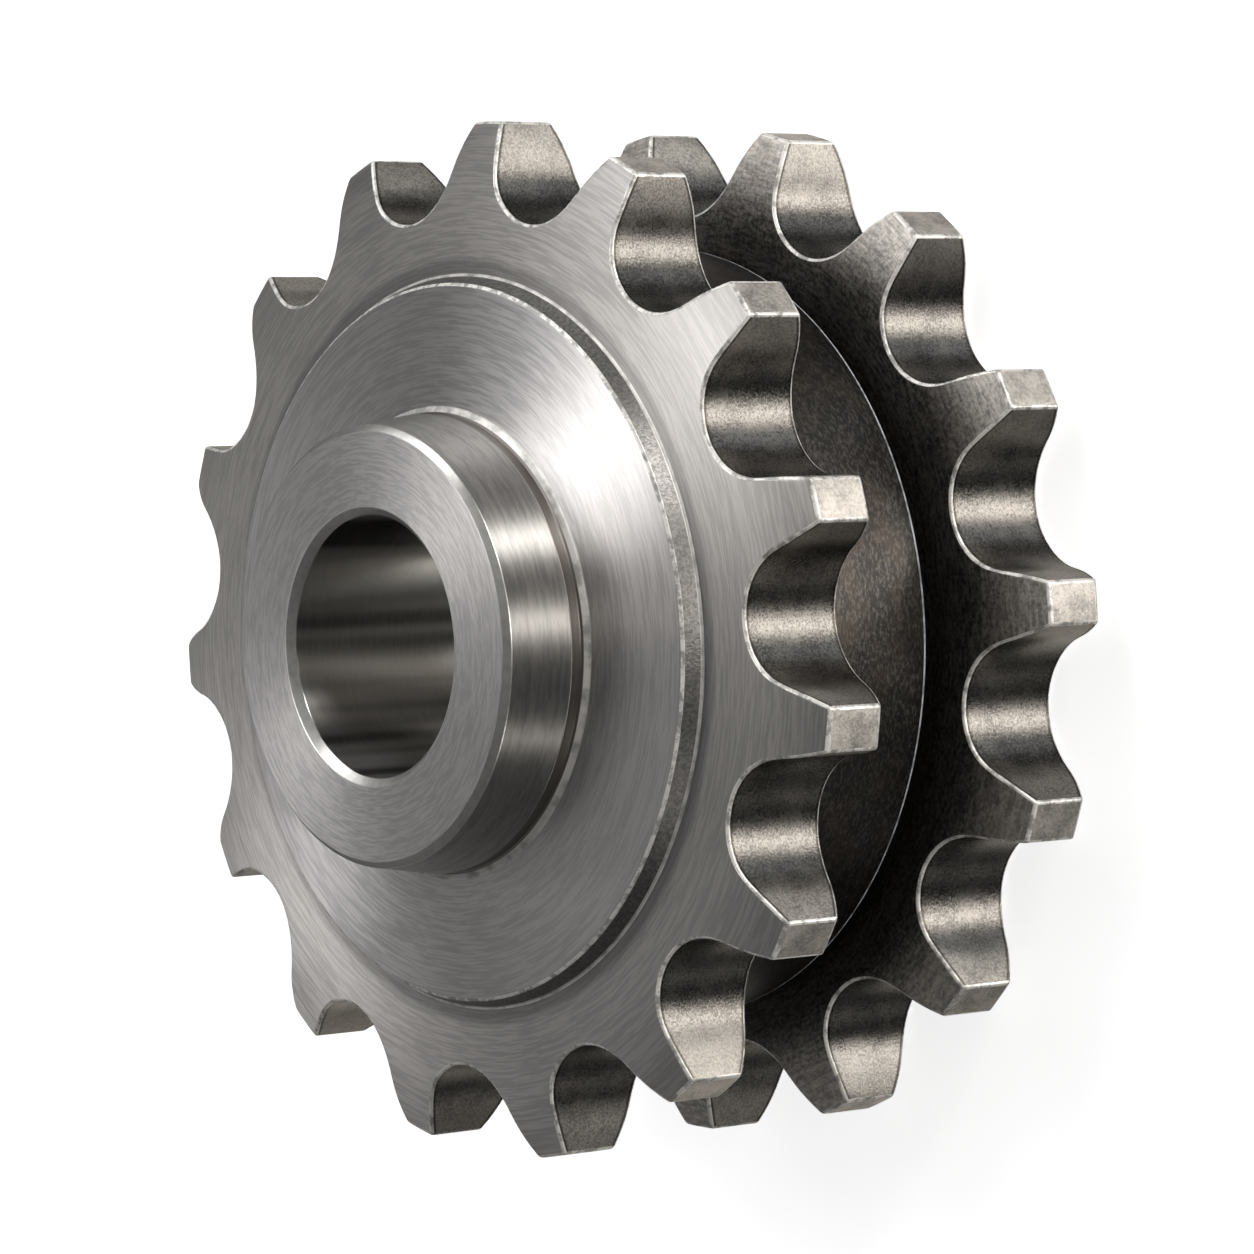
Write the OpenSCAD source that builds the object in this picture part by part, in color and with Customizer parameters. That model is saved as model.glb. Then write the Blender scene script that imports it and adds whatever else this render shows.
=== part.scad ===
// Chain sprocket with two staggered tooth rows for two simplex roller chains.
// It is turned and hobbed from one blank. The axis is Z, the hub points up,
// and the back face of the rear row lies at Z = 0.

/* [Chain] */
// Pitch of the roller chain
chain_pitch = 12.7; // [11:0.1:16]
// Diameter of the chain's rollers
roller_d = 8.51; // [7:0.01:9]

/* [Tooth rows] */
// Number of teeth in each row
teeth = 15; // [13:1:24]
// Width of a tooth row at the roller seats
tooth_w = 7.2; // [5:0.1:9]
// Distance between the middles of the two rows
row_spacing = 17.5; // [15:0.1:24]
// Height of the tooth tips above the pitch circle
tip_rise = 1.45; // [0.8:0.05:2.2]
// Play between a roller and its seat, on the radius
seat_play = 0.045; // [0.02:0.005:0.15]
// Angle of the roller seat
seat_angle = 134; // [120:1:140]
// Radius of the rounded tooth flanks
flank_r = 17.4; // [14:0.1:26]
// Amount by which each side of a tooth is relieved at its tip
side_relief = 1.65; // [0.8:0.05:2]
// Radius of the side relief
side_relief_r = 12.7; // [10:0.1:18]

/* [Drum between the rows] */
// Drop from the pitch circle to the drum, which clears the chains' side plates
drum_drop = 6.3; // [5.5:0.1:9]
// Width of the relief groove beside the rear row
relief_w = 1.25; // [0.6:0.05:2.5]
// Depth of the relief groove below the drum
relief_depth = 1.9; // [0.8:0.1:3]

/* [Shoulder] */
// Drop from the pitch circle to the rim of the shoulder
shoulder_drop = 8.55; // [7:0.05:9.5]
// Height of the shoulder's rim above the front row
shoulder_h = 1.2; // [0.5:0.05:3]
// Rise of the shoulder's coned face from its rim to the hub
shoulder_rise = 0.7; // [0.1:0.05:1.5]
// Slope of the shoulder's wall, measured from upright
wall_taper = 24; // [0:1:35]
// Radius of the fillet at the foot of that wall
foot_fillet = 0.2; // [0.1:0.05:0.5]
// Width of the break on the turned edges
edge_break = 0.15; // [0.05:0.05:0.3]

/* [Hub] */
// Diameter of the hub
hub_d = 27; // [22:0.5:30]
// Height of the hub above the front row
hub_h = 7.5; // [5:0.1:20]
// Chamfer around the hub's face
hub_chamfer = 0.4; // [0.2:0.05:1]
// Width of the turned groove around the foot of the hub
hub_groove_w = 1; // [0.7:0.05:1.4]
// Depth of that groove below the shoulder's face
hub_groove_depth = 0.35; // [0.1:0.05:0.8]
// Undercut of the hub above that groove
hub_undercut = 0.3; // [0.1:0.05:0.8]
// Height of the undercut above the shoulder's face
hub_undercut_h = 0.2; // [0.1:0.05:1]

/* [Bore] */
// Diameter of the bore
bore_d = 16; // [8:0.5:19]
// Chamfer at both ends of the bore
bore_chamfer = 0.5; // [0.2:0.05:1]

/* [Hidden] */
$fn = 96;
// Overlap that lets a cut run clear of the surface it leaves
cut_over = 1;

tooth_step = 360 / teeth;
pitch_r = chain_pitch / 2 / sin(180 / teeth);
root_r = pitch_r - roller_d / 2;
tip_r = pitch_r + tip_rise;
seat_r = roller_d / 2 + seat_play;
seat_mid = root_r + seat_r;

// Radius at which the side relief starts, where it is level with the row's face
relief_start = tip_r - sqrt(pow(side_relief_r, 2) - pow(side_relief_r - side_relief, 2));

drum_r = pitch_r - drum_drop;
shoulder_r = pitch_r - shoulder_drop;
hub_r = hub_d / 2;
bore_r = bore_d / 2;

rear_top = tooth_w;
front_bottom = row_spacing;
front_top = row_spacing + tooth_w;
shoulder_top = front_top + shoulder_h;
lip_top = shoulder_top + shoulder_rise;
hub_top = front_top + hub_h;
lip_r = hub_r + hub_groove_w;
undercut_r = hub_r - hub_undercut;
undercut_top = lip_top + hub_undercut_h;
groove_floor = lip_top - hub_groove_depth;
// Radius at which the shoulder's sloping wall ends, below the row's face
wall_end = shoulder_r + (shoulder_h + cut_over) * tan(wall_taper);
// Middle of the fillet at the foot of that wall
foot_mid = [
    shoulder_r + (shoulder_h - foot_fillet) * tan(wall_taper) + foot_fillet / cos(wall_taper),
    front_top + foot_fillet
];
// Where the wall runs into the fillet
foot_start = [
    foot_mid[0] - foot_fillet * cos(wall_taper),
    foot_mid[1] - foot_fillet * sin(wall_taper)
];
// Radius at which the groove's floor ends and its sloping outer side starts
groove_floor_r = lip_r - hub_groove_depth;

// Where the roller seat runs into a flank, and the middle of the flank's arc
flank_start = [seat_mid - seat_r * cos(seat_angle / 2), seat_r * sin(seat_angle / 2)];
flank_mid = [
    seat_mid - (seat_r + flank_r) * cos(seat_angle / 2),
    (seat_r + flank_r) * sin(seat_angle / 2)
];

// Half the width of a tooth gap at the distance x from the axis
function gap_half(x) = flank_mid[1] - sqrt(max(0, pow(flank_r, 2) - pow(x - flank_mid[0], 2)));

// One tooth gap, on the +X side: a round roller seat that opens out
// between two rounded flanks.
module gap_outline() {
    mouth = tip_r + cut_over;
    difference() {
        polygon([
            [flank_start[0], -flank_start[1]],
            [mouth, -gap_half(mouth)],
            [mouth, gap_half(mouth)],
            [flank_start[0], flank_start[1]]
        ]);
        for (side = [-1, 1])
            translate([flank_mid[0], side * flank_mid[1]]) circle(r = flank_r);
    }
    translate([seat_mid, 0]) circle(r = seat_r);
}

// Section of one tooth row, with its two sides curving in towards the tip
module row_section(base) {
    translate([0, base]) {
        square([relief_start, tooth_w]);
        intersection() {
            translate([relief_start - side_relief, 0])
                square([tip_r - relief_start + side_relief, tooth_w]);
            translate([relief_start, side_relief_r]) circle(r = side_relief_r);
            translate([relief_start, tooth_w - side_relief_r]) circle(r = side_relief_r);
        }
    }
}

// Section of the shoulder: a low sloping wall with a fillet at its foot, and a coned face
module shoulder_section() {
    polygon([
        [0, front_top - cut_over],
        [wall_end, front_top - cut_over],
        [shoulder_r + edge_break * tan(wall_taper), shoulder_top - edge_break],
        [shoulder_r - edge_break, shoulder_top],
        [lip_r, lip_top],
        [groove_floor_r, groove_floor],
        [0, groove_floor]
    ]);
    difference() {
        translate([foot_start[0] - cut_over, front_top - cut_over])
            square([foot_mid[0] - foot_start[0] + cut_over, foot_start[1] - front_top + cut_over]);
        translate(foot_mid) circle(r = foot_fillet);
    }
}

// Section of the hub, undercut at its foot and chamfered at its face
module hub_section() {
    polygon([
        [0, front_top],
        [undercut_r, front_top],
        [undercut_r, undercut_top],
        [hub_r - edge_break, undercut_top],
        [hub_r, undercut_top + edge_break],
        [hub_r, hub_top - hub_chamfer],
        [hub_r - hub_chamfer, hub_top],
        [0, hub_top]
    ]);
}

// Section of the drum that joins the rows, relieved beside the rear row
module drum_section() {
    translate([0, rear_top - cut_over])
        square([drum_r - relief_depth, relief_w + 2 * cut_over]);
    polygon([
        [0, rear_top + relief_w],
        [drum_r - edge_break, rear_top + relief_w],
        [drum_r, rear_top + relief_w + edge_break],
        [drum_r, front_bottom + cut_over],
        [0, front_bottom + cut_over]
    ]);
}

// Section of the bore, with a chamfer at each end
module bore_section() {
    polygon([
        [0, -cut_over],
        [bore_r + bore_chamfer + cut_over, -cut_over],
        [bore_r, bore_chamfer],
        [bore_r, hub_top - bore_chamfer],
        [bore_r + bore_chamfer + cut_over, hub_top + cut_over],
        [0, hub_top + cut_over]
    ]);
}

// The turned blank, before its teeth are cut
module blank() {
    rotate_extrude()
        difference() {
            union() {
                row_section(0);
                drum_section();
                row_section(front_bottom);
                shoulder_section();
                hub_section();
            }
            bore_section();
        }
}

// The cutters that leave one row's teeth, the first gap being at the angle start
module row_gaps(base, start) {
    for (i = [0 : teeth - 1])
        rotate([0, 0, start + i * tooth_step])
            translate([0, 0, base - cut_over])
                linear_extrude(height = tooth_w + 2 * cut_over)
                    gap_outline();
}

// The whole sprocket. The front row has a tooth on +X, and the rear row is
// turned by half a tooth, so that the two chains take their load in turn.
module sprocket() {
    color([0.60, 0.60, 0.60])
        difference() {
            blank();
            row_gaps(front_bottom, tooth_step / 2);
            row_gaps(0, 0);
        }
}

sprocket();
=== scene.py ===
import math

import bpy
from mathutils import Matrix, Vector


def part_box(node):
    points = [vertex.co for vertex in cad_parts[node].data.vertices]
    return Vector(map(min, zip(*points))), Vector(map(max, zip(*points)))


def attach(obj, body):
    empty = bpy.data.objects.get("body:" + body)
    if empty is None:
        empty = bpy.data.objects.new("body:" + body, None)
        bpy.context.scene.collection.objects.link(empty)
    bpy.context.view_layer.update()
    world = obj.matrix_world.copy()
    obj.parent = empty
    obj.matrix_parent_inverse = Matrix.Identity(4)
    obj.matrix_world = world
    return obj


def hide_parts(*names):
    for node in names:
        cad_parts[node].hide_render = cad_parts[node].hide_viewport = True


bl_info = {
    "name": "Chain sprocket",
    "version": (1, 0, 0),
    "blender": (4, 5, 0),
    "location": "View3D > Sidebar > Sprocket",
    "description": "Finishes a turned steel chain sprocket and sets it on a plain stage",
    "category": "Object",
}

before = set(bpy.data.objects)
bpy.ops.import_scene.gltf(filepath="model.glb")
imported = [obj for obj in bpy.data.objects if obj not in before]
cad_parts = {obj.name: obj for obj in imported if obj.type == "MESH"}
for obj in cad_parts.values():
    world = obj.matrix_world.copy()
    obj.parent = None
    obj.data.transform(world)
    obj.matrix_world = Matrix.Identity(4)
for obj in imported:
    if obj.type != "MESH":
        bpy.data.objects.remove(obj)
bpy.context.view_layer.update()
MM = 0.001

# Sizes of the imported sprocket, in millimetres
TEETH = 15
TIP_R = 31.9919
SEAT_MID = 30.5869
SEAT_R = 4.3
SEAT_ANGLE = 134.0
FLANK_R = 17.4
TOOTH_W = 7.2
FRONT_BASE = 17.5
FRONT_TOP = FRONT_BASE + TOOTH_W
RELIEF = 1.65
RELIEF_R = 12.7
RELIEF_START = TIP_R - math.sqrt(RELIEF_R**2 - (RELIEF_R - RELIEF) ** 2)
DRUM_R = 24.2419
DRUM_FOOT = 8.45
GROOVE_R = 22.3419
SHOULDER_R = 21.9919
SHOULDER_TOP = 25.9
WALL_TAPER = math.radians(24)
FOOT_FILLET = 0.2
LIP_R = 14.5
LIP_TOP = 26.6
HUB_R = 13.5
HUB_TOP = 32.2
HUB_CHAMFER = 0.4
BORE_R = 8.0
BORE_CHAMFER = 0.5
TURNED_BREAK = 0.15
# A height between the two rows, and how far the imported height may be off
BETWEEN_ROWS = 12.0
HEIGHT_PLAY = 0.01

# What the scene alone forms: the hub's foot, with its neck and cove, and the band of painted
# highlight along the drum's edge
HUB_FOOT_R = 14.1
NECK_STEP = 0.07
NECK_HEIGHT = 0.72
COVE_RISE = 0.36
COVE_REACH = 0.34
COVE_START = 0.04
COVE_MID = (0.45, 0.33)
DRUM_EDGE_W = 0.12

# How finely the sprocket is divided
COLUMNS = 40
LAND_STEPS = 3
FLANK_STEPS = 5
RELIEF_STEPS = 7
BREAK_STEPS = 3
WALL_STEPS = 5
FILLET_STEPS = 3
CORNER_STEP = math.radians(25)
# How far a rounded corner's middle is drawn out towards the sharp one: turned, and at a tooth
TURNED_PULL = 0.55
TOOTH_PULL = 0.4
# The search for the flank's end at the tip circle: its span in radians and its halvings
SEARCH_SPAN = 0.5
SEARCH_STEPS = 50

# Where wide faces are divided once more: heights in the bore and on the drum, then radii
BORE_HEIGHTS = (8, 16, 24)
DRUM_HEIGHTS = (14.5, 11.5)
BACK_R = (17.0, 12.5)
HUB_FACE_R = 10.8
CONE_R = (14.68, 17, 19.5)
FRONT_ROW_R = 24.1
UNDER_ROW_R = 24.9419
REAR_ROW_R = 24.0
# Radii beyond which a gap's faces are the land, and the corners beside it
LAND_FROM = TIP_R - 0.01
CORNER_FROM = TIP_R - 0.14


def side_drop(r):
    """How far a row's side has curved in at the radius r."""
    out = max(0.0, r - RELIEF_START)
    return RELIEF_R - math.sqrt(RELIEF_R**2 - out**2)


def half_tooth(brk):
    """Half a tooth's outline, from the middle of its land, on +X, to the bottom of the gap:
    each point's place and its outward normal."""
    half_step = math.pi / TEETH
    half_seat = math.radians(SEAT_ANGLE / 2)
    flank_mid = Vector(
        (
            SEAT_MID - (SEAT_R + FLANK_R) * math.cos(half_seat),
            (SEAT_R + FLANK_R) * math.sin(half_seat),
        )
    )

    def flank_point(a):
        return flank_mid + FLANK_R * Vector((math.sin(a), -math.cos(a)))

    low = seat_end = math.pi / 2 - half_seat
    high = low + SEARCH_SPAN
    for _ in range(SEARCH_STEPS):
        corner_a = (low + high) / 2
        if flank_point(corner_a).length < TIP_R:
            low = corner_a
        else:
            high = corner_a
    corner = flank_point(corner_a)
    land_end = math.atan2(corner.y, corner.x) + brk / TIP_R
    flank_end = corner_a - brk / FLANK_R
    points = []
    for i in range(LAND_STEPS + 1):
        a = half_step + (land_end - half_step) * i / LAND_STEPS
        d = Vector((math.cos(a), math.sin(a)))
        points.append((TIP_R * d, d))
    land_point, land_normal = points[-1]
    flank_normal = (flank_point(flank_end) - flank_mid).normalized()
    for t in (1 / 3, 2 / 3):
        n = (land_normal * (1 - t) + flank_normal * t).normalized()
        points.append((land_point.lerp(flank_point(flank_end), t).lerp(corner, TOOTH_PULL), n))
    for i in range(FLANK_STEPS + 1):
        p = flank_point(flank_end + (seat_end - flank_end) * i / FLANK_STEPS)
        points.append((p, (p - flank_mid).normalized()))
    seat_steps = COLUMNS // 2 + 1 - len(points)
    for i in range(1, seat_steps + 1):
        a = half_seat * (1 - i / seat_steps)
        d = Vector((-math.cos(a), math.sin(a)))
        points.append((Vector((SEAT_MID, 0)) + SEAT_R * d, -d))
    turn = Matrix.Rotation(-half_step, 2)
    return [(turn @ p, turn @ n) for p, n in points]


def softened(points, amount):
    """The profile with each of its corners turned in small steps."""
    made = []
    for i, (place, finish) in enumerate(points):
        if 0 < i < len(points) - 1:
            before = Vector(points[i - 1][0]) - Vector(place)
            after = Vector(points[i + 1][0]) - Vector(place)
            turned = math.pi - before.angle(after)
            if turned > CORNER_STEP:
                reach = min(amount, before.length / 3, after.length / 3)
                first = Vector(place) + before.normalized() * reach
                last = Vector(place) + after.normalized() * reach
                steps = math.ceil(turned / CORNER_STEP)
                inner = points[i - 1][1]
                for k in range(steps):
                    t = k / (steps - 1)
                    flat = first.lerp(last, t)
                    pull = TURNED_PULL * (1 - abs(2 * t - 1)) if steps > 2 else 0
                    spot = flat.lerp(Vector(place), pull)
                    made.append((tuple(spot), finish if k == steps - 1 else inner))
                continue
        made.append((tuple(place), finish))
    return made


def row_rings(base, top_finish, foot_finish):
    """One tooth row's rings, from the start of one side's relief to the other's."""
    rings = []
    for i in range(RELIEF_STEPS + 1):
        rings.append(("side", i / RELIEF_STEPS, 1, top_finish if i < RELIEF_STEPS else "worn_edge"))
    for i in range(1, BREAK_STEPS + 1):
        finish = "worn_edge" if i < BREAK_STEPS else "hobbed_gap"
        rings.append(("break", i / BREAK_STEPS, 1, finish))
    for i in range(1, WALL_STEPS):
        rings.append(("wall", i / WALL_STEPS, 0, "hobbed_gap"))
    for i in range(BREAK_STEPS, 0, -1):
        rings.append(("break", i / BREAK_STEPS, -1, "worn_edge"))
    for i in range(RELIEF_STEPS, -1, -1):
        rings.append(("side", i / RELIEF_STEPS, -1, foot_finish))
    return [(base, *ring) for ring in rings]


def turned_profile(brk, corner):
    """All rings of the sprocket in order: radius, height, finish of the band up to
    the next ring, and for a tooth row's rings the way they follow the teeth."""
    r_face = HUB_R - HUB_CHAMFER
    cone = (LIP_TOP - SHOULDER_TOP) / (SHOULDER_R - TURNED_BREAK - LIP_R)
    cove_top = LIP_TOP + COVE_RISE
    neck_top = cove_top + NECK_HEIGHT
    turned = [
        ((BACK_R[1], 0), "back_face"),
        ((BORE_R + BORE_CHAMFER, 0), "chamfer_skin"),
        ((BORE_R, BORE_CHAMFER), "bore_wall"),
    ]
    turned += [((BORE_R, z), "bore_wall") for z in BORE_HEIGHTS]
    turned += [
        ((BORE_R, HUB_TOP - BORE_CHAMFER), "chamfer_skin"),
        ((BORE_R + BORE_CHAMFER, HUB_TOP), "hub_face"),
        ((HUB_FACE_R, HUB_TOP), "hub_face"),
        ((r_face, HUB_TOP), "chamfer_skin"),
        ((HUB_R, HUB_TOP - HUB_CHAMFER), "turned_side"),
        (((HUB_R + HUB_FOOT_R) / 2, (HUB_TOP - HUB_CHAMFER + neck_top) / 2), "turned_side"),
        # The hub's foot: a painted highlight on its edge and cove, and painted shade on its neck
        ((HUB_FOOT_R, neck_top + NECK_STEP), "rim_foot"),
        ((HUB_FOOT_R - NECK_STEP, neck_top), "groove_skin"),
        ((HUB_FOOT_R - NECK_STEP, cove_top), "groove_skin"),
        ((LIP_R - COVE_REACH, cove_top - COVE_START), "rim_foot"),
        ((LIP_R - COVE_REACH * COVE_MID[0], LIP_TOP + COVE_RISE * COVE_MID[1]), "rim_foot"),
        ((LIP_R, LIP_TOP), "turned_face"),
    ]
    turned += [((r, LIP_TOP - cone * (r - LIP_R)), "turned_face") for r in CONE_R]
    wall_r = SHOULDER_R + TURNED_BREAK * math.tan(WALL_TAPER)
    turned += [
        ((SHOULDER_R - TURNED_BREAK, SHOULDER_TOP), "worn_edge"),
        ((wall_r, SHOULDER_TOP - TURNED_BREAK), "rim_wall"),
    ]
    foot_r = SHOULDER_R + (SHOULDER_TOP - FRONT_TOP - FOOT_FILLET) * math.tan(WALL_TAPER)
    foot_r += FOOT_FILLET / math.cos(WALL_TAPER)
    for i in range(FILLET_STEPS + 1):
        a = WALL_TAPER + (math.pi / 2 - WALL_TAPER) * i / FILLET_STEPS
        r, z = foot_r - FOOT_FILLET * math.cos(a), FRONT_TOP + FOOT_FILLET * (1 - math.sin(a))
        turned.append(((r, z), "rim_foot" if i < FILLET_STEPS else "row_face"))
    turned.append(((FRONT_ROW_R, FRONT_TOP), "row_face"))
    rings = [(r, z, finish, None) for (r, z), finish in softened(turned, corner)]
    between = [((UNDER_ROW_R, FRONT_BASE), "rear_face"), ((DRUM_R, FRONT_BASE), "drum_skin")]
    between += [((DRUM_R, z), "drum_skin") for z in DRUM_HEIGHTS]
    between += [
        # A band of painted highlight along the drum's edge
        ((DRUM_R, DRUM_FOOT + TURNED_BREAK + DRUM_EDGE_W), "drum_edge"),
        ((DRUM_R, DRUM_FOOT + TURNED_BREAK), "drum_edge"),
        ((DRUM_R - TURNED_BREAK, DRUM_FOOT), "rear_face"),
        ((GROOVE_R, DRUM_FOOT), "rear_face"),
        ((GROOVE_R, TOOTH_W), "rear_face"),
        ((REAR_ROW_R, TOOTH_W), "rear_face"),
    ]
    rows = ((FRONT_BASE, "row_face", "rear_face"), (0.0, "rear_face", "back_face"))
    for base, top_finish, foot_finish in rows:
        for shape in row_rings(base, top_finish, foot_finish):
            r, z = row_place(half_tooth(brk)[0], shape, 0.0, brk)[:2]
            rings.append((r, z, shape[4], shape))
        if base == FRONT_BASE:
            rings += [(r, z, finish, None) for (r, z), finish in softened(between, corner)]
    rings.append((BACK_R[0], 0.0, "back_face", None))
    return rings


def row_place(point, shape, circle_angle, brk):
    """Where a ring of a tooth row passes a point of the outline: radius, height, angle."""
    base, kind, value, side, _ = shape
    place, normal = point

    def side_height(r):
        drop = side_drop(r)
        return base + TOOTH_W - drop if side > 0 else base + drop

    if kind == "wall":
        drop = side_drop(place.length) + brk
        height = base + TOOTH_W - drop - value * (TOOTH_W - 2 * drop)
        return place.length, height, -math.atan2(place.y, place.x)
    turn = math.pi / 2 * value if kind == "break" else 0.0
    spot = place - normal * brk * (1 - math.sin(turn))
    r, angle = spot.length, -math.atan2(spot.y, spot.x)
    if kind == "side":
        r = RELIEF_START + (r - RELIEF_START) * value
        angle = circle_angle + (angle - circle_angle) * value
    return r, side_height(r) - side * brk * (1 - math.cos(turn)), angle


def make_sprocket(brk, corner):
    """Turns the profile into the blank's mesh and tells which ring each point is on."""
    rings = turned_profile(brk, corner)
    mesh = bpy.data.meshes.new("sprocket_profile")
    count = len(rings)
    mesh.from_pydata(
        [(r * MM, 0, z * MM) for r, z, _, _ in rings],
        [(i, (i + 1) % count) for i in range(count)],
        [],
    )
    mark = mesh.attributes.new("ring", "INT", "POINT")
    mark.data.foreach_set("value", range(count))
    piece = bpy.data.objects.new("finished_sprocket", mesh)
    bpy.context.collection.objects.link(piece)
    bpy.context.view_layer.objects.active = piece
    piece.select_set(True)
    screw = piece.modifiers.new("turning", "SCREW")
    screw.axis = "Z"
    screw.angle = 2 * math.pi
    screw.steps = screw.render_steps = TEETH * COLUMNS
    screw.use_merge_vertices = True
    screw.merge_threshold = 1e-6
    screw.use_normal_calculate = False
    bpy.ops.object.modifier_apply(modifier=screw.name)
    bpy.ops.object.mode_set(mode="EDIT")
    bpy.ops.mesh.select_all(action="SELECT")
    bpy.ops.mesh.normals_make_consistent(inside=False)
    bpy.ops.object.mode_set(mode="OBJECT")
    mesh = piece.data
    ring_of = [0] * len(mesh.vertices)
    mesh.attributes["ring"].data.foreach_get("value", ring_of)
    return piece, rings, ring_of


def set_teeth(piece, rings, ring_of, brk):
    """Moves the spun rings of the tooth rows out to the teeth's outline."""
    outline = half_tooth(brk)
    total, half = TEETH * COLUMNS, COLUMNS // 2
    column_step = 2 * math.pi / total
    for v in piece.data.vertices:
        shape = rings[ring_of[v.index]][3]
        if shape is None:
            continue
        column = round(math.atan2(v.co.y, v.co.x) / column_step)
        turned = 0 if shape[0] == FRONT_BASE else half
        along = (column - turned) % COLUMNS
        side = 1 if along <= half else -1
        from_middle = along if side > 0 else COLUMNS - along
        tooth_angle = (column - side * from_middle) * column_step
        r, z, angle = row_place(outline[from_middle], shape, from_middle * column_step, brk)
        angle = tooth_angle + side * angle
        v.co = (r * math.cos(angle) * MM, r * math.sin(angle) * MM, z * MM)


def set_finishes(piece, rings, ring_of):
    """Gives each band of faces its finish, and the lands and their corners their own."""
    mesh = piece.data
    for face in mesh.polygons:
        owners = sorted({ring_of[i] for i in face.vertices})
        first = owners[0] if owners[1] == owners[0] + 1 else owners[-1]
        finish = rings[first][2]
        if finish == "hobbed_gap":
            r = face.center.to_2d().length / MM
            if r > LAND_FROM:
                finish = "tip_land"
            elif r > CORNER_FROM:
                finish = "worn_edge"
        face.material_index = FINISHES.index(finish)
        face.use_smooth = True


def set_normals(mesh):
    """Smooth normals in which each face counts by its area, so that wide faces stay flat."""
    sums = [Vector((0, 0, 0)) for _ in mesh.vertices]
    for face in mesh.polygons:
        push = face.normal * face.area
        for i in face.vertices:
            sums[i] += push
    mesh.normals_split_custom_set_from_vertices([n.normalized() for n in sums])


def shade(colour, amount):
    """The same colour, darker or lighter."""
    return tuple(min(1.0, c * amount) for c in colour)


class Value:
    """A number in a material, whose sums and products add Math nodes."""

    def __init__(self, finish, socket):
        self.finish, self.socket = finish, socket

    def maths(self, operation, *values):
        """Adds a Math node over these values."""
        made = self.finish.node("ShaderNodeMath", {"operation": operation}, dict(enumerate(values)))
        return Value(self.finish, made.outputs[0])

    def __add__(self, other):
        return self.maths("ADD", self, other)

    __radd__ = __add__

    def __mul__(self, other):
        return self.maths("MULTIPLY", self, other)

    def __sub__(self, other):
        return self.maths("SUBTRACT", self, other)

    def __rsub__(self, other):
        return self.maths("SUBTRACT", other, self)

    def __truediv__(self, other):
        return self.maths("DIVIDE", self, other)

    def __pow__(self, other):
        return self.maths("POWER", self, other)


# Turns a highlight's streak, so that it runs across the turning lines
QUARTER_TURN = 0.25


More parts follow.
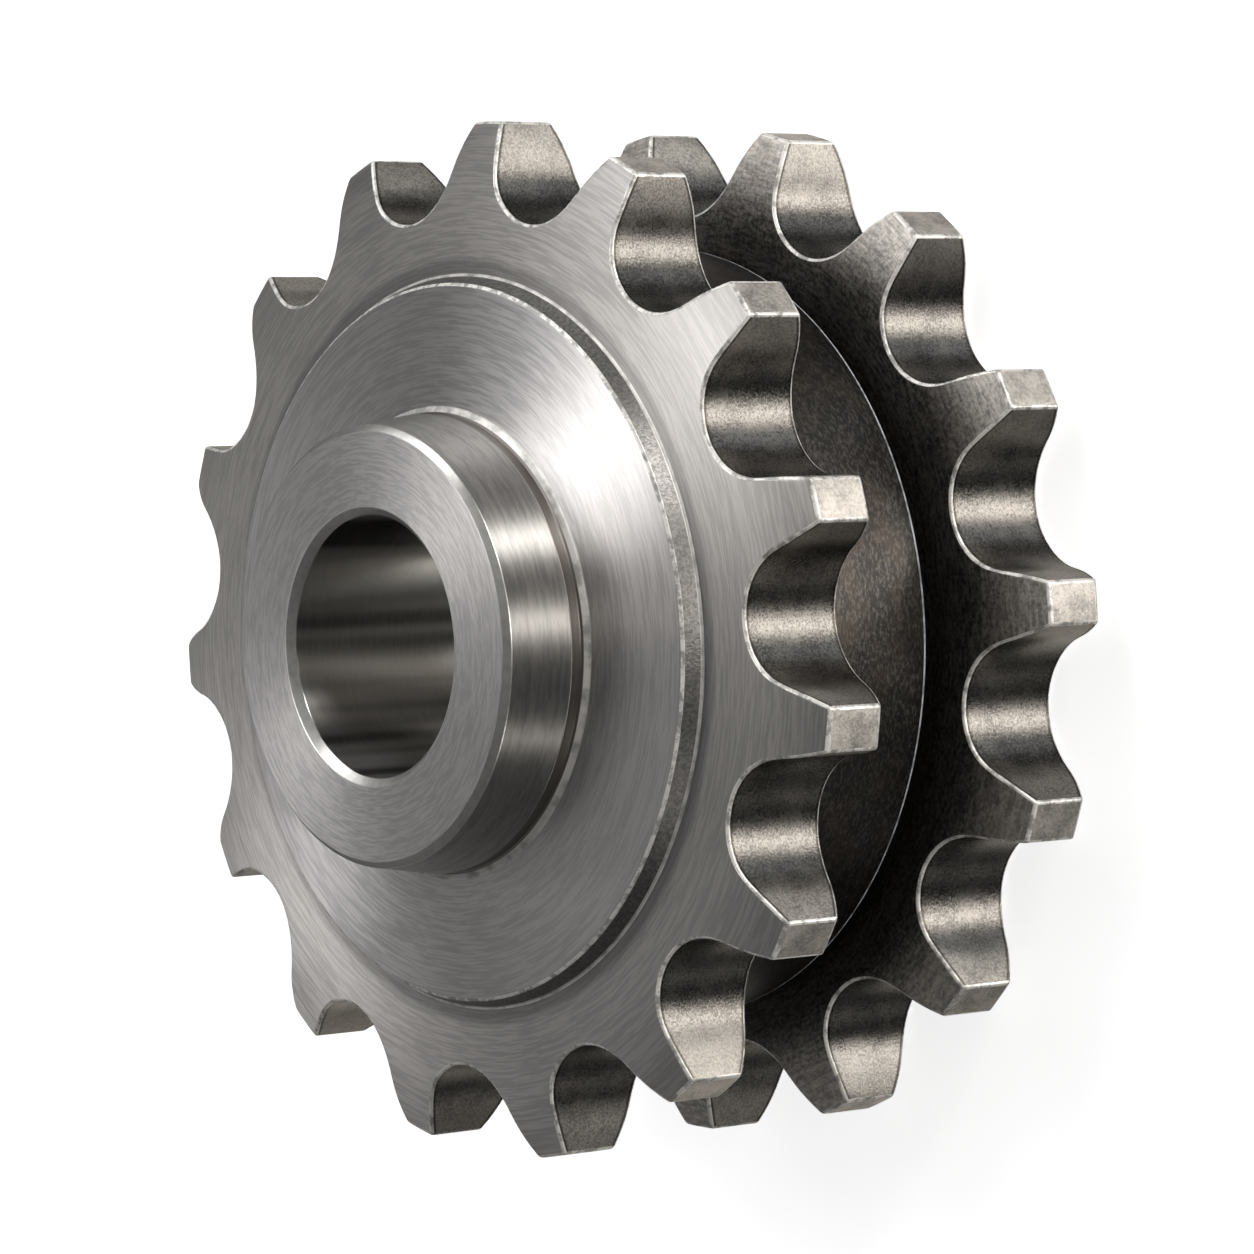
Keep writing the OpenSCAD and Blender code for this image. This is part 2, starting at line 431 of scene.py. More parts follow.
class Finish:
    """One material, with the object's own coordinates in millimetres."""

    def __init__(self, name, unit=MM):
        self.material = bpy.data.materials.new(name)
        self.material.use_nodes = True
        self.tree = self.material.node_tree
        self.tree.nodes.clear()
        self.output = self.node("ShaderNodeOutputMaterial")
        coords = self.node("ShaderNodeTexCoord")
        self.place = self.vector_maths("SCALE", {0: coords.outputs["Object"], 3: 1 / unit})
        split = self.node("ShaderNodeSeparateXYZ", {}, {0: self.place})
        self.x, self.y, self.z = (Value(self, split.outputs[i]) for i in range(3))

    def node(self, kind, settings=None, sockets=None):
        """Adds a node, sets it up, and gives its sockets values or links."""
        made = self.tree.nodes.new(kind)
        for key, value in (settings or {}).items():
            setattr(made, key, value)
        for key, value in (sockets or {}).items():
            value = value.socket if isinstance(value, Value) else value
            if isinstance(value, bpy.types.NodeSocket):
                self.tree.links.new(value, made.inputs[key])
            elif isinstance(value, tuple) and len(value) == 3 and made.inputs[key].type == "RGBA":
                made.inputs[key].default_value = (*value, 1)
            else:
                made.inputs[key].default_value = value
        return made

    def vector_maths(self, operation, sockets, output=0):
        """Adds a Vector Math node and gives one of its outputs."""
        made = self.node("ShaderNodeVectorMath", {"operation": operation}, sockets)
        return made.outputs[output]

    def round_place(self):
        """The radius and the direction around the axis."""
        r = (self.x * self.x + self.y * self.y) ** 0.5
        return r, self.x / r, self.y / r

    def noise(self, scale, detail=2.0, roughness=0.5, place=None, w=None):
        """Noise over the object's own place or another, in four dimensions where w is given."""
        settings = {"noise_dimensions": "4D" if w is not None else "3D"}
        sockets = {"Vector": place or self.place, "Scale": scale}
        sockets |= {"Detail": detail, "Roughness": roughness}
        if w is not None:
            sockets["W"] = w
        return Value(self, self.node("ShaderNodeTexNoise", settings, sockets).outputs[0])

    def join(self, x, y, z):
        """Three numbers as one place."""
        return self.node("ShaderNodeCombineXYZ", {}, {0: x, 1: y, 2: z}).outputs[0]

    def step(self, value, low, high, to_low=0.0, to_high=1.0):
        """A soft step from to_low to to_high as the value goes from low to high."""
        made = self.node(
            "ShaderNodeMapRange",
            {"interpolation_type": "SMOOTHSTEP"},
            {0: value, 1: low, 2: high, 3: to_low, 4: to_high},
        )
        return Value(self, made.outputs[0])

    def mix(self, factor, first, second):
        """From the first colour, at a factor of 0, to the second, at 1."""
        made = self.node("ShaderNodeMix", {"data_type": "RGBA"}, {0: factor, 6: first, 7: second})
        return made.outputs[2]

    def tones(self, tone, light, dark_part):
        """From a darker shade of a colour, at a tone of 0, to the colour itself, at 1."""
        return self.mix(tone, shade(light, dark_part), shade(light, 1.0))

    def bump(self, height, depth):
        """A relief of this depth in millimetres."""
        sockets = {"Strength": 1.0, "Distance": depth * MM, "Height": height}
        return self.node("ShaderNodeBump", {}, sockets).outputs[0]

    def steel(self, colour, roughness, normal=None, anisotropic=0.0, metallic=1.0):
        """The steel's shader, which finishes the material."""
        sockets = {
            "Base Color": colour,
            "Roughness": roughness,
            "Metallic": metallic,
            "Anisotropic": anisotropic,
            "Anisotropic Rotation": QUARTER_TURN,
        }
        if normal is not None:
            sockets["Normal"] = normal
        shader = self.node("ShaderNodeBsdfPrincipled", {}, sockets)
        self.tree.links.new(shader.outputs[0], self.output.inputs[0])
        return self.material

    def turning_lines(self, fineness, length, detail=3.0):
        """Fine lines that run around the axis, over radius and height."""
        r, along, across = self.round_place()
        wave = self.noise(0.6, 1.0) * 0.7
        place = self.join(r * fineness + wave, self.z * fineness, along * length)
        return self.noise(1.0, detail, 0.6, place, across * length)


def step_place(finish, turned):
    """Where a point lies within its step of the teeth: outwards, sideways and the radius.
    It is measured from the middle of the front row's nearest gap, or, where turned is 1,
    from the middle of that row's nearest tooth."""
    r, _, _ = finish.round_place()
    step = 2 * math.pi / TEETH
    angle = finish.y.maths("ARCTAN2", finish.y, finish.x) + (turned * 0.5 * step + 2 * math.pi)
    local = angle.maths("FLOORED_MODULO", angle, step) - step / 2
    return r * local.maths("COSINE", local), r * local.maths("SINE", local), r


def tooth_edge_distance(finish):
    """How far a point lies inside the outline of the front row."""
    gap_x, gap_y, r = step_place(finish, 0.0)
    gap_y = gap_y.maths("ABSOLUTE", gap_y)
    half_seat = math.radians(SEAT_ANGLE / 2)
    flank_x = SEAT_MID - (SEAT_R + FLANK_R) * math.cos(half_seat)
    flank_y = (SEAT_R + FLANK_R) * math.sin(half_seat)
    to_seat_x, to_seat_y = gap_x - SEAT_MID, gap_y
    seat = (to_seat_x * to_seat_x + to_seat_y * to_seat_y) ** 0.5 - SEAT_R
    to_flank_x, to_flank_y = gap_x - flank_x, gap_y - flank_y
    flank = FLANK_R - (to_flank_x * to_flank_x + to_flank_y * to_flank_y) ** 0.5
    side = to_seat_x * math.sin(half_seat) + to_seat_y * math.cos(half_seat)
    on_flank = side.maths("GREATER_THAN", side, 0.0)
    gap = seat + (flank - seat) * on_flank
    land = TIP_R - r
    return gap.maths("MINIMUM", gap, land)


def row_edge_height(finish):
    """How far a point of a gap's wall lies from the nearer side of its row."""
    r, _, _ = finish.round_place()
    out = (r - RELIEF_START).maths("MAXIMUM", r - RELIEF_START, 0.0)
    drop = RELIEF_R - (RELIEF_R**2 - out * out) ** 0.5
    # The height above the row's own base, for both rows
    up = finish.z.maths("FLOORED_MODULO", finish.z + 1.0, FRONT_BASE) - 1.0
    return up.maths("MINIMUM", up, TOOTH_W - up) - drop


# Radii between which the front row's painted shade beside the shoulder's foot fades out, and the
# rear row's painted shade gives way to lighter steel towards the tips, in millimetres
ROW_FOOT_R = (23.1, 23.9)
REAR_SHADE_R = (25.6, 32.0)
# How far in from its outline the front row's face has a bright edge
EDGE_LIGHT = 0.09
# The gaps' painted shade in the seat gives way to lighter steel over these angles, in radians. The
# angle stands at the radius SEAT_MID, on the middle line of the nearest tooth of the same row, and
# is 0 straight inwards.
LIGHT_ANGLE = (0.7, 1.4)
# How far from a row's side the painted shade in a gap ends
SIDE_SHADE_END = (0.27, 0.44)
# The cool dark and light of the painted highlight on the drum's edge beside the groove
DRUM_EDGE_COLOURS = ((0.35, 0.37, 0.40), (0.85, 0.90, 0.97))


def faced_steel(name, light, roughness, anisotropic):
    """Steel faced on a lathe, in the tones of one light colour."""
    f = Finish(name)
    fine = f.turning_lines(6.4, 7.0, 2.0)
    rings = f.turning_lines(2.3, 1.3, 2.0)
    cloud = f.noise(0.12, 3.0)
    tone = f.step(fine, 0.42, 0.58) * 0.5 + f.step(rings, 0.3, 0.7) * 0.15 + cloud * 0.35
    rough = roughness + (fine - 0.5) * 0.18 + (cloud - 0.5) * 0.08
    return f.steel(f.tones(tone, light, 0.655), rough, f.bump(fine, 0.014), anisotropic)


def turned_face(looks):
    """The shoulder's coned face."""
    return faced_steel("turned_face", looks.face_colour, 0.38, 0.9)


def hub_face(looks):
    """The hub's face, in the shoulder's steel painted a little darker as shade, and calmer."""
    # Painted shade: a darker copy of the shoulder's colour
    return faced_steel("hub_face", shade(looks.face_colour, 0.85), 0.46, 0.65)


def row_face(looks):
    """The front row's face, with bright edges and painted shade at its foot."""
    f = Finish("row_face")
    r, _, _ = f.round_place()
    fine = f.turning_lines(6.4, 9.0, 2.0)
    rings = f.turning_lines(1.9, 1.3, 2.0)
    cloud = f.noise(0.14, 3.0)
    grain = f.noise(3.5, 2.0, 0.6)
    tone = f.step(fine, 0.42, 0.58) * 0.5 + f.step(rings, 0.3, 0.7) * 0.15 + cloud * 0.3
    colour = f.tones(tone, looks.row_colour, 0.63)
    # Painted shade beside the shoulder's foot, fading out over ROW_FOOT_R
    foot = f.step(r + (grain - 0.5) * 0.2, *ROW_FOOT_R, 0.5, 0.0)
    colour = f.mix(foot, colour, shade(looks.row_colour, 0.21))
    inside = tooth_edge_distance(f) + (grain - 0.5) * 0.12
    edge = f.step(inside, 0.0, EDGE_LIGHT, 1.0, 0.0)
    colour = f.mix(edge, colour, shade(looks.edge_colour, 0.94))
    rough = 0.48 + (fine - 0.5) * 0.2 + (cloud - 0.5) * 0.08
    return f.steel(colour, rough, f.bump(fine, 0.014), 0.8)


def turned_side(looks):
    """The side of the hub."""
    f = Finish("turned_side")
    fine = f.turning_lines(4.6, 8.0, 3.0)
    rings = f.turning_lines(1.6, 1.2, 2.0)
    tone = f.step(fine, 0.42, 0.56) * 0.5 + f.step(rings, 0.3, 0.7) * 0.5
    colour = f.tones(tone, looks.side_colour, 0.68)
    rough = 0.44 + (fine - 0.5) * 0.12
    return f.steel(colour, rough, f.bump(fine, 0.006), 0.9)


def chamfer_skin(looks):
    """The chamfers of the hub and the bore."""
    f = Finish("chamfer_skin")
    nicks = f.noise(1.6, 3.0, 0.6)
    colour = f.tones(f.step(nicks, 0.3, 0.6), shade(looks.edge_colour, 0.76), 0.84)
    return f.steel(colour, 0.33, None, 0.3, metallic=0.93)


def bore_wall(looks):
    """The bore, with broad dark and light bands along it, painted as reflections."""
    f = Finish("bore_wall")
    _, along, across = f.round_place()
    fine = f.turning_lines(5.0, 6.0, 3.0)
    # Painted reflections: bands that run along the bore
    bands = f.noise(1.0, 1.0, 0.5, f.join(along * 3.4, across * 3.4, f.z * 0.02))
    tone = f.step(fine, 0.3, 0.7) * 0.08 + f.step(bands, 0.38, 0.66) * 0.92
    colour = f.tones(tone, looks.bore_colour, 0.175)
    return f.steel(colour, 0.30 + (fine - 0.5) * 0.1, f.bump(fine, 0.003), 0.75)


def groove_skin(looks):
    """The neck at the hub's foot, painted dark as shade."""
    f = Finish("groove_skin")
    fine = f.turning_lines(6.0, 1.5, 2.0)
    # Painted shade in the neck
    colour = f.tones(fine, shade(looks.drum_colour, 2.35), 0.5)
    return f.steel(colour, 0.38, f.bump(fine, 0.01), 0.6)


def rim_wall(looks):
    """The shoulder's sloping wall, in the hub side's steel painted darker as shade."""
    f = Finish("rim_wall")
    grain = f.noise(4.5, 4.0, 0.65)
    pits = f.noise(8.0, 2.0, 0.7)
    # Painted shade: a darker copy of the hub side's colour
    colour = f.tones(f.step(grain, 0.3, 0.7), shade(looks.side_colour, 0.6), 0.5)
    return f.steel(colour, 0.42 + (pits - 0.5) * 0.16, f.bump(pits, 0.02), 0.4)


def rim_foot(looks):
    """The small curves at the foot of the wall and of the hub, painted bright as a highlight."""
    f = Finish("rim_foot")
    nicks = f.noise(0.8, 3.0, 0.6)
    # Painted highlight: a pale, half-metallic colour
    colour = f.tones(f.step(nicks, 0.3, 0.6), shade(looks.edge_colour, 0.84), 0.52)
    return f.steel(colour, 0.42, None, 0.0, metallic=0.6)


def drum_skin(looks):
    """The drum, painted dark as shade between the rows, with light flakes and brown stains."""
    f = Finish("drum_skin")
    _, along, across = f.round_place()
    stretched = f.join(along * 62, across * 62, f.z * 5.2)
    flakes = f.noise(1.0, 4.0, 0.75, stretched)
    cloud = f.noise(0.2, 3.0, 0.5)
    tone = f.step(flakes, 0.44, 0.66) * 0.75 + cloud * 0.25
    # Painted shade: the drum's dark colour
    colour = f.tones(tone, looks.drum_colour, 0.2)
    stain = f.step(f.noise(0.4, 3.0, 0.65), 0.48, 0.66)
    colour = f.mix(stain * 0.2, colour, shade(looks.stain_and_shade_colour, 0.8))
    return f.steel(colour, 0.44 + (flakes - 0.5) * 0.3, f.bump(flakes, 0.03), 0.5)


def drum_edge(looks):
    """The drum's edge beside the groove, painted as a cool band of highlight."""
    f = Finish("drum_edge")
    nicks = f.noise(1.2, 3.0, 0.6)
    colour = f.mix(f.step(nicks, 0.35, 0.6), *DRUM_EDGE_COLOURS)
    return f.steel(colour, 0.45, metallic=0.4)


def hobbed_gap(looks):
    """A tooth gap, with painted shade: dark in its seat and along its sides, lighter towards the
    tips.
    """
    f = Finish("hobbed_gap")
    grain = f.noise(6.5, 3.0, 0.75)
    mottle = f.noise(0.5, 3.0, 0.6)
    pits = f.step(f.noise(2.6, 2.0, 0.6), 0.62, 0.7)
    front = f.z.maths("GREATER_THAN", f.z, BETWEEN_ROWS)
    tooth_x, tooth_y, _ = step_place(f, front)
    around = tooth_y.maths("ARCTAN2", tooth_y, SEAT_MID - tooth_x)
    around = around.maths("ABSOLUTE", around) + (mottle - 0.5) * 0.3
    # Painted shade: dark in the seat, lighter on the flanks towards the tips
    flank = f.step(around, *LIGHT_ANGLE)
    tone = f.step(grain * 0.75 + mottle * 0.25, 0.38, 0.62)
    colour = f.tones(tone, shade(looks.land_colour, 0.34), 0.35)
    colour = f.mix(flank, colour, f.tones(tone, shade(looks.land_colour, 0.74), 0.5))
    colour = f.mix(pits * 0.3, colour, shade(looks.drum_colour, 0.5))
    # Painted shade: a dark band along the gap's sides, beside the bright broken edges
    side_shade = f.step(row_edge_height(f) + (grain - 0.5) * 0.1, *SIDE_SHADE_END, 0.75, 0.0)
    colour = f.mix(side_shade, colour, shade(looks.stain_and_shade_colour, 0.22))
    rough = 0.27 + flank * 0.22 + (grain - 0.5) * 0.3 + (mottle - 0.5) * 0.1
    return f.steel(colour, rough, f.bump(grain, 0.022), 0.6)


def tip_land(looks):
    """The land at a tooth's tip."""
    f = Finish("tip_land")
    grain = f.noise(5.0, 3.0, 0.7)
    mottle = f.noise(0.5, 3.0, 0.6)
    colour = f.tones(f.step(grain * 0.45 + mottle * 0.55, 0.34, 0.62), looks.land_colour, 0.45)
    return f.steel(colour, 0.52 + (grain - 0.5) * 0.25, f.bump(grain, 0.04), 0.2, metallic=0.8)


def worn_edge(looks):
    """The broken edges round the teeth and at the shoulder."""
    f = Finish("worn_edge")
    nicks = f.noise(1.1, 4.0, 0.7)
    colour = f.tones(f.step(nicks, 0.38, 0.56), looks.edge_colour, 0.42)
    return f.steel(colour, 0.40, f.bump(nicks, 0.03), 0.0, metallic=0.4)


def rear_face(looks):
    """The rear row's face, painted dark as shade between the rows, and lighter towards the tips."""
    f = Finish("rear_face")
    r, _, _ = f.round_place()
    grain = f.noise(3.6, 4.0, 0.75)
    streak = f.turning_lines(5.0, 26.0, 3.0)
    mottle = f.noise(0.4, 4.0, 0.6)
    # Painted shade: the rear row is dark near the drum, and the shade fades out towards the tips
    out_of_shade = f.step(r + (mottle - 0.5) * 3.0 + (grain - 0.5) * 3.0, *REAR_SHADE_R)
    tone = f.step(grain * 0.5 + streak * 0.5, 0.38, 0.62)
    dark = f.tones(tone, looks.rear_colour, 0.2)
    light = f.tones(tone, shade(looks.land_colour, 1.1), 0.5)
    colour = f.mix(out_of_shade, dark, light)
    colour = f.mix(f.step(mottle, 0.5, 0.68) * 0.25, colour, shade(looks.stain_and_shade_colour, 0.8))
    return f.steel(colour, 0.50 + (grain - 0.5) * 0.3, f.bump(grain + streak, 0.025), 0.1)


def back_face(looks):
    """The turned back of the sprocket."""
    f = Finish("back_face")
    fine = f.turning_lines(8.0, 2.2, 4.0)
    cloud = f.noise(0.15, 3.0)
    colour = f.tones(f.step(fine * 0.5 + cloud * 0.5, 0.3, 0.7), looks.back_colour, 0.64)
    return f.steel(colour, 0.34 + (fine - 0.5) * 0.2, f.bump(fine, 0.012), 0.7)


FINISH_MAKERS = (
    turned_face,
    hub_face,
    row_face,
    turned_side,
    chamfer_skin,
    bore_wall,
    groove_skin,
    rim_wall,
    rim_foot,
    drum_skin,
    drum_edge,
    hobbed_gap,
    tip_land,
    worn_edge,
    rear_face,
    back_face,
)
FINISHES = tuple(made.__name__ for made in FINISH_MAKERS)

# The camera: its rows are the picture's right, down and forward directions. The shift is
# the place of the point at AIM_HEIGHT on the axis, as the camera sees it, in millimetres,
# and the turn is how far the sprocket was turned about its axis when the rows were solved.
CAMERA_ROWS = (
    (-0.2587263, -0.58374858, -0.76960918),
    (-0.93149673, 0.36167219, 0.0388211),
    (0.25568448, 0.72693247, -0.637334),
)
CAMERA_SHIFT = (-8.66847975, 0.85826071, 339.74744754)
CAMERA_TURN = 0.4252385815
CAMERA_ROWS_HERE = Matrix(CAMERA_ROWS) @ Matrix.Rotation(-CAMERA_TURN, 3, "Z")
AIM_HEIGHT = 23.05
# The focal length and the picture's width, in the picture's own pixels
FOCAL_PIXELS = 5500
PICTURE_PIXELS = 1254
SENSOR_WIDTH = 36


def seen(right, up, near):
    """A direction given as the picture shows it."""
    rows = CAMERA_ROWS_HERE
    return (rows[0] * right - rows[1] * up - rows[2] * near).normalized()


def place_camera():
    """The camera at the photograph's viewing angle."""
    rows = CAMERA_ROWS_HERE
    place = Vector((0, 0, AIM_HEIGHT)) - rows.transposed() @ Vector(CAMERA_SHIFT)
    data = bpy.data.cameras.new("camera")
    cam = bpy.data.objects.new("camera", data)
    bpy.context.collection.objects.link(cam)
    stand = Matrix((rows[0], -rows[1], -rows[2])).transposed().to_4x4()
    stand.translation = place * MM
    cam.matrix_world = stand
    data.sensor_width = SENSOR_WIDTH
    data.lens = FOCAL_PIXELS * SENSOR_WIDTH / PICTURE_PIXELS
    data.clip_start = 0.01
    data.clip_end = 10
    bpy.context.scene.camera = cam


# Panels of the light tent: direction as the picture shows it, reach and soft edge in
# degrees, brightness and colour
PANELS = (
    ((-0.991, 0.075, 0.01), 3, 7, 0.2, (0.98, 0.985, 1.0)),
    ((-0.942, 0.262, 0.20), 4, 8, 3.4, (0.98, 0.985, 1.0)),
    ((-0.79, 0.43, 0.44), 5, 9, 4.4, (0.98, 0.985, 1.0)),
    ((-0.907, 0.026, -0.42), 2, 4, 1.0, (0.98, 0.985, 1.0)),
    ((0.964, 0.237, 0.174), 5, 11, 9.0, (1.0, 0.975, 0.93)),
    ((0.777, 0.663, -0.059), 3, 9, 1.4, (0.86, 0.93, 1.0)),
    ((0.115, 0.50, -0.842), 12, 20, 0.5, (1.0, 0.95, 0.88)),
    ((0.175, -0.58, -0.81), 10, 18, 0.6, (1.0, 0.94, 0.85)),
    ((0.777, -0.583, -0.059), 2, 6, 0.7, (1.0, 0.96, 0.92)),
    ((-0.97, -0.30, -0.15), 10, 40, 0.13, (0.99, 0.99, 1.0)),
    ((-0.60, 0.20, 0.75), 10, 50, 0.05, (0.99, 0.99, 1.0)),
    ((-0.67, 0.735, -0.10), 4, 14, 1.9, (0.97, 0.98, 1.0)),
    ((-0.478, 0.87, 0.116), 5, 9, 4.5, (0.99, 0.99, 1.0)),
    ((-0.98, -0.13, 0.06), 4, 12, 0.34, (1.0, 0.99, 0.98)),
)
TENT_GREY = (0.075, 0.075, 0.075)
TENT_RADIUS = 1.5
# The floor lies a little under the sprocket, so that the two don't touch
FLOOR_SIZE = 2.4
FLOOR_GAP = 0.00005
FLOOR_GLOW = 0.8


def tent(level):
    """A dome of grey cloth with soft bright panels, out of the camera's sight."""
    bpy.ops.object.select_all(action="DESELECT")
    bpy.ops.mesh.primitive_ico_sphere_add(subdivisions=4, radius=TENT_RADIUS, location=(0, 0, 0))
    dome = bpy.context.object
    dome.name = "light_tent"
    f = Finish("tent_cloth", unit=1.0)
    facing = f.vector_maths("NORMALIZE", {0: f.place})
    total = None
    for direction, reach, edge, bright, colour in PANELS:
        along = f.vector_maths("DOT_PRODUCT", {0: facing, 1: tuple(seen(*direction))}, output=1)
        rim, core = math.cos(math.radians(reach + edge)), math.cos(math.radians(reach))
        spot = f.step(Value(f, along), rim, core, 0.0, bright)
        tint = f.vector_maths("SCALE", {0: colour, 3: spot})
        total = tint if total is None else f.vector_maths("ADD", {0: total, 1: tint})
    total = f.vector_maths("ADD", {0: total, 1: TENT_GREY})
    glow = f.node("ShaderNodeEmission", {}, {"Color": total, "Strength": level})
    f.tree.links.new(glow.outputs[0], f.output.inputs[0])
    f.material.cycles.emission_sampling = "NONE"
    dome.data.materials.append(f.material)
    dome.visible_camera = False
    dome.visible_shadow = False


# The lamps' aims, in millimetres: a point at the front row's right, and the part's foot
ROW_RIGHT = seen(0.636, 0.033, 0.771) * 24 + seen(0, 1, 0.04) * 14 + Vector((0, 0, FRONT_TOP))
MIDDLE = (0.0, 0.0, 0.0)
# Lamps: name, aim, direction as the picture shows it, distance and width in metres,
# brightness and colour
LAMPS = (
    ("key_lamp", MIDDLE, (0.308, 0.748, 0.638), 0.7, 0.14, 42.0, (1.0, 0.985, 0.96)),
    ("side_lamp", MIDDLE, (0.61, 0.155, 0.777), 0.7, 0.12, 48.0, (1.0, 0.97, 0.93)),
    ("low_lamp", MIDDLE, (0.50, -0.68, 0.53), 0.7, 0.10, 36.0, (1.0, 0.97, 0.92)),
    ("near_lamp", ROW_RIGHT, (-0.991, 0.06, 0.02), 0.11, 0.03, 3.6, (1.0, 0.985, 0.97)),
)


def lamps(level):
    """The round lamps, each with the power that gives its width the brightness listed."""
    for name, aim, direction, distance, width, bright, colour in LAMPS:
        way = seen(*direction)
        bpy.ops.object.light_add(type="AREA", location=Vector(aim) * MM + way * distance)
        lamp = bpy.context.object
        lamp.name = name
        lamp.visible_camera = False
        lamp.rotation_euler = way.to_track_quat("Z", "Y").to_euler()
        lamp.data.shape = "DISK"
        lamp.data.size = width
        lamp.data.energy = math.pi**2 * width**2 / 4 * bright * level
        lamp.data.color = colour


def floor(colour):
    """The pale floor, which keeps the sprocket's shadow."""
    bpy.ops.object.select_all(action="DESELECT")
    bpy.ops.mesh.primitive_plane_add(size=FLOOR_SIZE, location=(0, 0, -FLOOR_GAP))
    plane = bpy.context.object
    plane.name = "floor"
    f = Finish("pale_floor", unit=1.0)
    sockets = {"Base Color": shade(colour, 1.0), "Roughness": 0.9}
    cloth = f.node("ShaderNodeBsdfPrincipled", {}, sockets)
    rays = f.node("ShaderNodeLightPath")
    shown = Value(f, rays.outputs["Is Camera Ray"]) + Value(f, rays.outputs["Is Glossy Ray"])
    shown = shown + Value(f, rays.outputs["Is Transmission Ray"])
    glow = f.node("ShaderNodeEmission", {}, {"Color": (1, 1, 1), "Strength": FLOOR_GLOW})
    ground = f.node("ShaderNodeMixShader", {}, {0: shown, 2: glow.outputs[0]})
    both = f.node("ShaderNodeAddShader", {}, {0: cloth.outputs[0], 1: ground.outputs[0]})
    f.tree.links.new(both.outputs[0], f.output.inputs[0])
    plane.data.materials.append(f.material)
    plane.visible_glossy = False


def white_world():
    """A plain white world."""
    world = bpy.data.worlds.new("studio")
    bpy.context.scene.world = world
    world.use_nodes = True
    ground = world.node_tree.nodes["Background"]
    ground.inputs["Color"].default_value = (1, 1, 1, 1)
    bpy.context.scene.view_settings.view_transform = "Standard"


def steel_colour(name, description, default):
    """A colour that a user may change."""
    return bpy.props.FloatVectorProperty(
        name=name,
        description=description,
        default=default,
        subtype="COLOR",
        size=3,
        min=0.0,
        max=1.0,
    )


def light_level(name, description):
    """A brightness that a user may change."""
    return bpy.props.FloatProperty(
        name=name, description=description, default=1.0, min=0.0, max=3.0, subtype="FACTOR"
    )


class SprocketLooks(bpy.types.PropertyGroup):
    """What a user may change on the sprocket"""

    edge_break: bpy.props.FloatProperty(
        name="Broken edge",
        description="Width of the broken edge around each tooth",
        default=0.18 * MM,
        min=0.05 * MM,
        max=0.20 * MM,
        unit="LENGTH",
        precision=5,
    )
    corner_turn: bpy.props.FloatProperty(
        name="Turned corner",
        description="Reach of the rounding on the turned corners",
        default=0.05 * MM,
        min=0.01 * MM,
        max=0.10 * MM,
        unit="LENGTH",
        precision=5,
    )
    face_colour: steel_colour(
        "Turned faces",
        "Lightest steel of the hub and the shoulder",
        (0.718, 0.693, 0.676),
    )
    row_colour: steel_colour(
        "Front row",
        "Lightest steel of the front row's face",
        (0.662, 0.634, 0.606),
    )
    side_colour: steel_colour(
        "Hub side",
        "Lightest steel around the hub",
        (0.50, 0.482, 0.46),
    )
    bore_colour: steel_colour(
        "Bore",
        "Lightest steel in the bore",
        (0.85, 0.83, 0.80),
    )
    land_colour: steel_colour(
        "Tooth lands and gaps",
        "Sandy steel on the lands and in the gaps",
        (0.727, 0.68, 0.622),
    )
    edge_colour: steel_colour(
        "Edges",
        "Bright steel of the worn edges",
        (0.96, 0.93, 0.88),
    )
    # The drum's dark is painted shade between the rows, and darkens the hub's neck too
    drum_colour: steel_colour(
        "Drum",
        "Lightest flakes on the dark drum",
        (0.136, 0.125, 0.115),
    )
    # Real brown stains on the drum and the rear row; in the gaps the same colour is painted shade
    stain_and_shade_colour: steel_colour(
        "Stains",
        "Brown stains on the drum, the rear row and in the gaps",
        (0.15, 0.112, 0.08),
    )
    # The rear row's charcoal is painted shade between the rows
    rear_colour: steel_colour(
        "Rear row",
        "Charcoal skin of the rear row",
        (0.13, 0.118, 0.105),
    )
    back_colour: steel_colour(
        "Back face",
        "Lightest steel of the back face",
        (0.56, 0.55, 0.54),
    )


class StageLooks(bpy.types.PropertyGroup):
    """What a user may change on the stage"""

    floor_colour: bpy.props.FloatVectorProperty(
        name="Floor",
        description="Colour of the pale floor",
        default=(0.8, 0.8, 0.8),
        subtype="COLOR",
        size=3,
        min=0.0,
        max=1.0,
    )
    tent_level: light_level("Tent", "Brightness of the light tent")
    lamp_level: light_level("Lamps", "Brightness of the lamps")


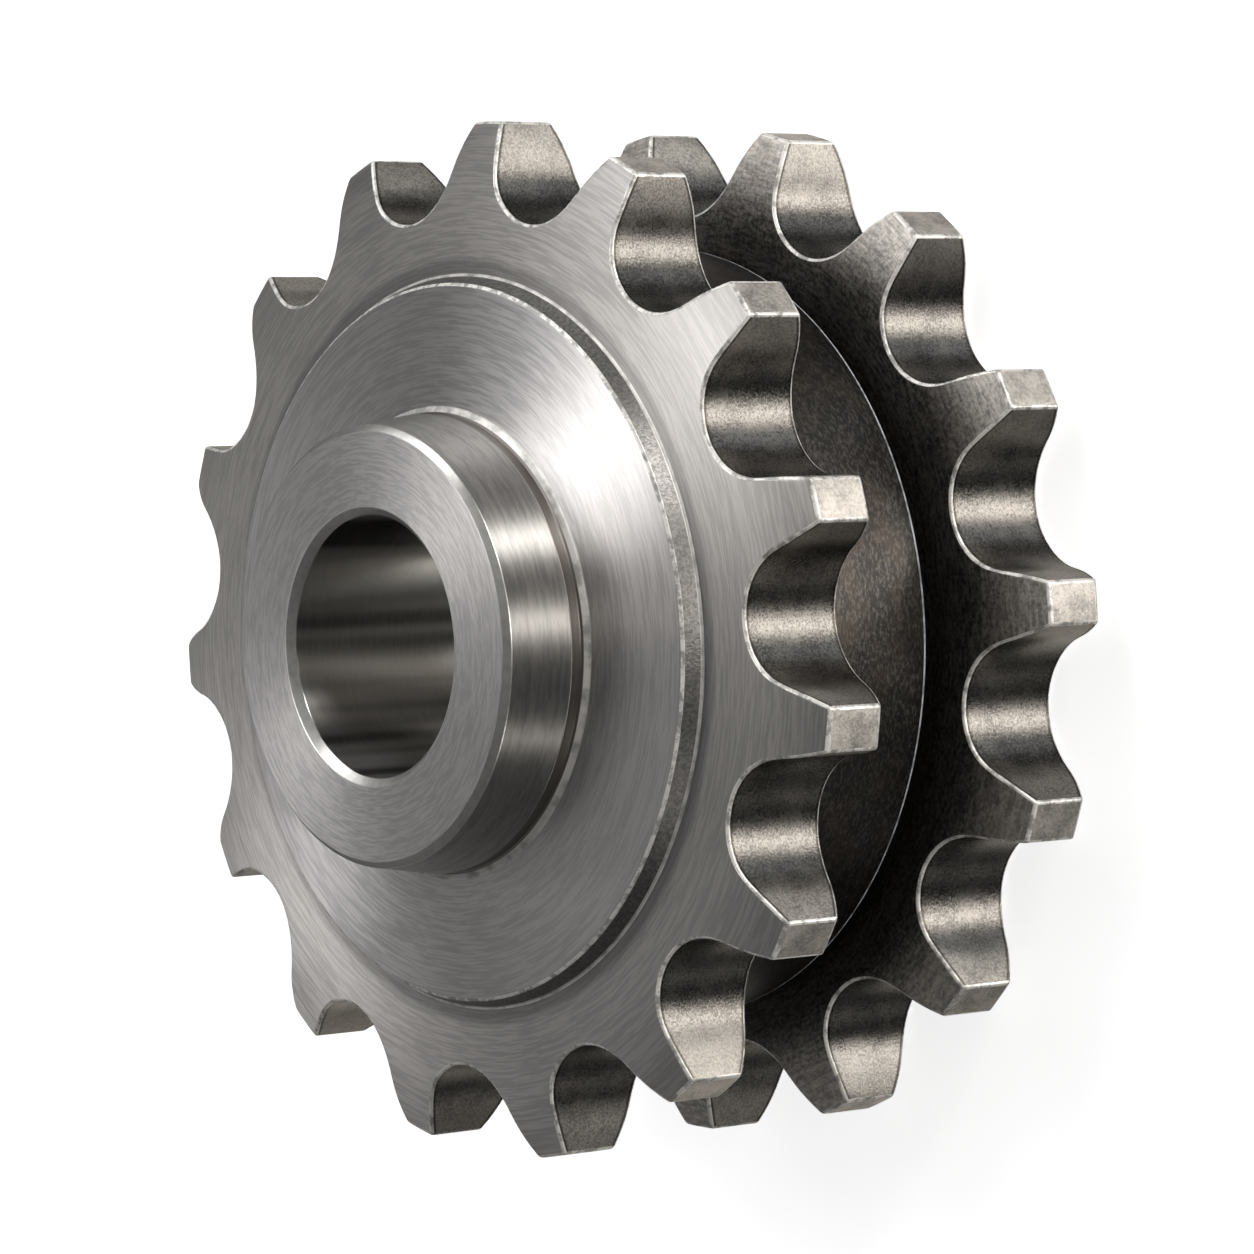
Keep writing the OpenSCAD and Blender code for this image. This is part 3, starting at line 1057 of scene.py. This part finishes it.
class SPROCKET_OT_finish_piece(bpy.types.Operator):
    """Turn the sprocket's profile, move its rows out to the teeth and give it its finishes"""

    bl_idname = "sprocket.finish_piece"
    bl_label = "Finish the sprocket"

    def execute(self, context):
        looks = context.scene.sprocket_looks
        _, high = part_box("sprocket")
        if abs(high[2] / MM - HUB_TOP) > HEIGHT_PLAY:
            raise RuntimeError("The packed sprocket has another height than the sizes given here.")
        bpy.ops.object.select_all(action="DESELECT")
        brk = looks.edge_break / MM
        piece, rings, ring_of = make_sprocket(brk, looks.corner_turn / MM)
        set_teeth(piece, rings, ring_of, brk)
        set_finishes(piece, rings, ring_of)
        for maker in FINISH_MAKERS:
            piece.data.materials.append(maker(looks))
        piece.data.attributes.remove(piece.data.attributes["ring"])
        set_normals(piece.data)
        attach(piece, "root")
        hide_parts("sprocket")
        return {"FINISHED"}


class SPROCKET_OT_set_stage(bpy.types.Operator):
    """Set up the camera, the floor, the light tent and the lamps"""

    bl_idname = "sprocket.set_stage"
    bl_label = "Set the stage"

    def execute(self, context):
        looks = context.scene.sprocket_stage
        place_camera()
        white_world()
        floor(looks.floor_colour)
        tent(looks.tent_level)
        lamps(looks.lamp_level)
        return {"FINISHED"}


class SPROCKET_PT_sidebar(bpy.types.Panel):
    """Lists the sprocket's settings and steps"""

    bl_idname = "SPROCKET_PT_sidebar"
    bl_label = "Chain sprocket"
    bl_space_type = "VIEW_3D"
    bl_region_type = "UI"
    bl_category = "Sprocket"

    def draw(self, context):
        for owner, group, step in (
            (context.scene.sprocket_looks, SprocketLooks, SPROCKET_OT_finish_piece),
            (context.scene.sprocket_stage, StageLooks, SPROCKET_OT_set_stage),
        ):
            for setting in group.__annotations__:
                self.layout.prop(owner, setting)
            self.layout.operator(step.bl_idname)


CLASSES = (
    SprocketLooks,
    StageLooks,
    SPROCKET_OT_finish_piece,
    SPROCKET_OT_set_stage,
    SPROCKET_PT_sidebar,
)


def register():
    for made in CLASSES:
        bpy.utils.register_class(made)
    bpy.types.Scene.sprocket_looks = bpy.props.PointerProperty(type=SprocketLooks)
    bpy.types.Scene.sprocket_stage = bpy.props.PointerProperty(type=StageLooks)


def unregister():
    del bpy.types.Scene.sprocket_stage
    del bpy.types.Scene.sprocket_looks
    for made in reversed(CLASSES):
        bpy.utils.unregister_class(made)


def main():
    register()
    bpy.ops.sprocket.finish_piece()
    bpy.ops.sprocket.set_stage()


if __name__ == "__main__":
    main()
